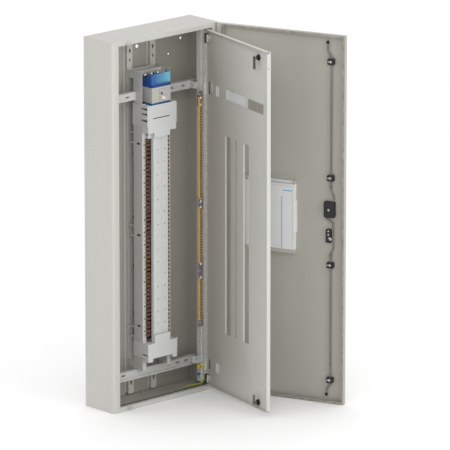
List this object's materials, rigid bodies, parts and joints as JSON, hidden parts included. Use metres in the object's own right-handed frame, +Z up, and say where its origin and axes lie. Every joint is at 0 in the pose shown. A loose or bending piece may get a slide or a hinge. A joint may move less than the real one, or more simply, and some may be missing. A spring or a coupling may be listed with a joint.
{
  "type": "industrial switchboard cabinet",
  "caption": "Tall wall-mounted switchboard cabinet with an outer and an inner door standing open over a busbar board, main switch, and neutral and earth bars.",
  "frame": {"origin": "centre of the cabinet's underside, on the bottom plate's outer face", "axes": "+X to the cabinet's right (hinge side), +Y to the back panel, +Z up"},
  "size_m": [0.8191, 0.7385, 1.603],
  "materials": {
    "cabinet_paint": "light grey fine-texture powder coat",
    "door_paint": "light grey fine-texture powder coat",
    "zinc_plated": "bright zinc-plated sheet",
    "bright_steel": "bright plated steel",
    "black_rubber": "matte foam rubber",
    "copper": "bare copper bar",
    "brass": "bare brass bar",
    "white_plastic": "moulded white plastic",
    "paper": "folded paper sheets",
    "black_plastic": "moulded black plastic",
    "grey_plastic": "moulded grey thermoset",
    "blue_plastic": "glossy blue plastic",
    "green_yellow": "green and yellow insulation",
    "chrome": "chromed die casting"
  },
  "bodies": {
    "cabinet": {"bottom_plate": "cabinet_paint", "bottom_shroud": "white_plastic", "busbar_cover": "white_plastic", "busbar_l1": "copper", "busbar_l2": "copper", "busbar_l3": "copper", "busbar_supports": "black_plastic", "cable_clamp": "white_plastic", "cable_sleeves": "blue_plastic", "chassis": "zinc_plated", "cover_rivets": "bright_steel", "earth_boot": "green_yellow", "earth_lead": "green_yellow", "earth_studs": "brass", "enclosure_body": "cabinet_paint", "frame_screws": "bright_steel", "hinge_leaves": "zinc_plated", "hinge_pins": "bright_steel", "hinge_post": "zinc_plated", "link_bar_carriers": "white_plastic", "link_bar_screws": "bright_steel", "link_bars": "brass", "lower_cross_rail": "zinc_plated", "main_switch_case": "grey_plastic", "main_switch_facia": "grey_plastic", "opening_gasket": "black_rubber", "post_brackets": "zinc_plated", "rear_rails": "zinc_plated", "rod_keepers": "zinc_plated", "switch_cover_lower": "blue_plastic", "switch_cover_upper": "blue_plastic", "switch_links": "copper", "switch_plate": "zinc_plated", "switch_screws": "bright_steel", "switch_terminals": "copper", "top_plate": "cabinet_paint", "top_shroud": "white_plastic", "upper_arms": "zinc_plated"},
    "outer_door": {"outer_door_panel": "door_paint", "outer_hinge_knuckles": "zinc_plated", "door_gasket": "black_rubber", "document_pocket": "white_plastic", "document_sheet": "paper", "rod_guides": "black_plastic", "guide_screws": "bright_steel", "latch_housing": "black_plastic", "handle_dish": "black_plastic"},
    "inner_door": {"inner_door_panel": "door_paint", "inner_hinge_knuckles": "zinc_plated", "blanking_plates": "white_plastic", "lock_housings": "black_plastic"},
    "handle": {"handle_hub": "chrome"},
    "lever": {"handle_lever": "black_plastic"},
    "lock": {"lock_cylinder": "chrome"},
    "upper_rod": {"upper_rod": "bright_steel"},
    "lower_rod": {"lower_rod": "bright_steel"},
    "top_cam": {"inner_cam_top": "bright_steel"},
    "bottom_cam": {"inner_cam_bottom": "bright_steel"},
    "toggle": {"main_switch_toggle": "white_plastic"}
  },
  "joints": [
    {"name": "outer_door_hinge", "type": "hinge", "parent": "cabinet", "child": "outer_door", "pos_m": [0.2902, -0.1009, 0.8], "axis": [0, 0, 1], "range_deg": [-111.7, 0]},
    {"name": "inner_door_hinge", "type": "hinge", "parent": "cabinet", "child": "inner_door", "pos_m": [0.2448, -0.0807, 0.8], "axis": [0, 0, 1], "range_deg": [-78.19, 0]},
    {"name": "handle_turn", "type": "hinge", "parent": "outer_door", "child": "handle", "pos_m": [0.50216, -0.57105, 0.845], "axis": [-0.9291, -0.3697, 0], "range_deg": [0, 90]},
    {"name": "lever_lift", "type": "hinge", "parent": "handle", "child": "lever", "pos_m": [0.50069, -0.56195, 0.845], "axis": [0, 0, -1], "range_deg": [0, 25]},
    {"name": "lock_turn", "type": "hinge", "parent": "outer_door", "child": "lock", "pos_m": [0.49937, -0.57216, 0.716], "axis": [-0.9291, -0.3697, 0], "range_deg": [0, 90]},
    {"name": "upper_rod_slide", "type": "slide", "parent": "outer_door", "child": "upper_rod", "axis": [0, 0, 1], "range_m": [0, 0.02199]},
    {"name": "lower_rod_slide", "type": "slide", "parent": "outer_door", "child": "lower_rod", "axis": [0, 0, -1], "range_m": [0, 0.02199]},
    {"name": "top_cam_turn", "type": "hinge", "parent": "inner_door", "child": "top_cam", "pos_m": [0.16402, -0.48656, 1.536], "axis": [-0.9788, 0.2047, 0], "range_deg": [0, 180]},
    {"name": "bottom_cam_turn", "type": "hinge", "parent": "inner_door", "child": "bottom_cam", "pos_m": [0.16402, -0.48656, 0.046], "axis": [-0.9788, 0.2047, 0], "range_deg": [0, 180]},
    {"name": "main_switch_throw", "type": "hinge", "parent": "cabinet", "child": "toggle", "pos_m": [0.008, -0.0395, 1.325], "axis": [-1, 0, 0], "range_deg": [0, 40]}
  ],
  "couplings": [
    {"joint": "inner_door_hinge", "follows": "outer_door_hinge", "ratio": 0.7},
    {"joint": "upper_rod_slide", "follows": "handle_turn", "m_per_rad": 0.014},
    {"joint": "lower_rod_slide", "follows": "handle_turn", "m_per_rad": 0.014}
  ]
}
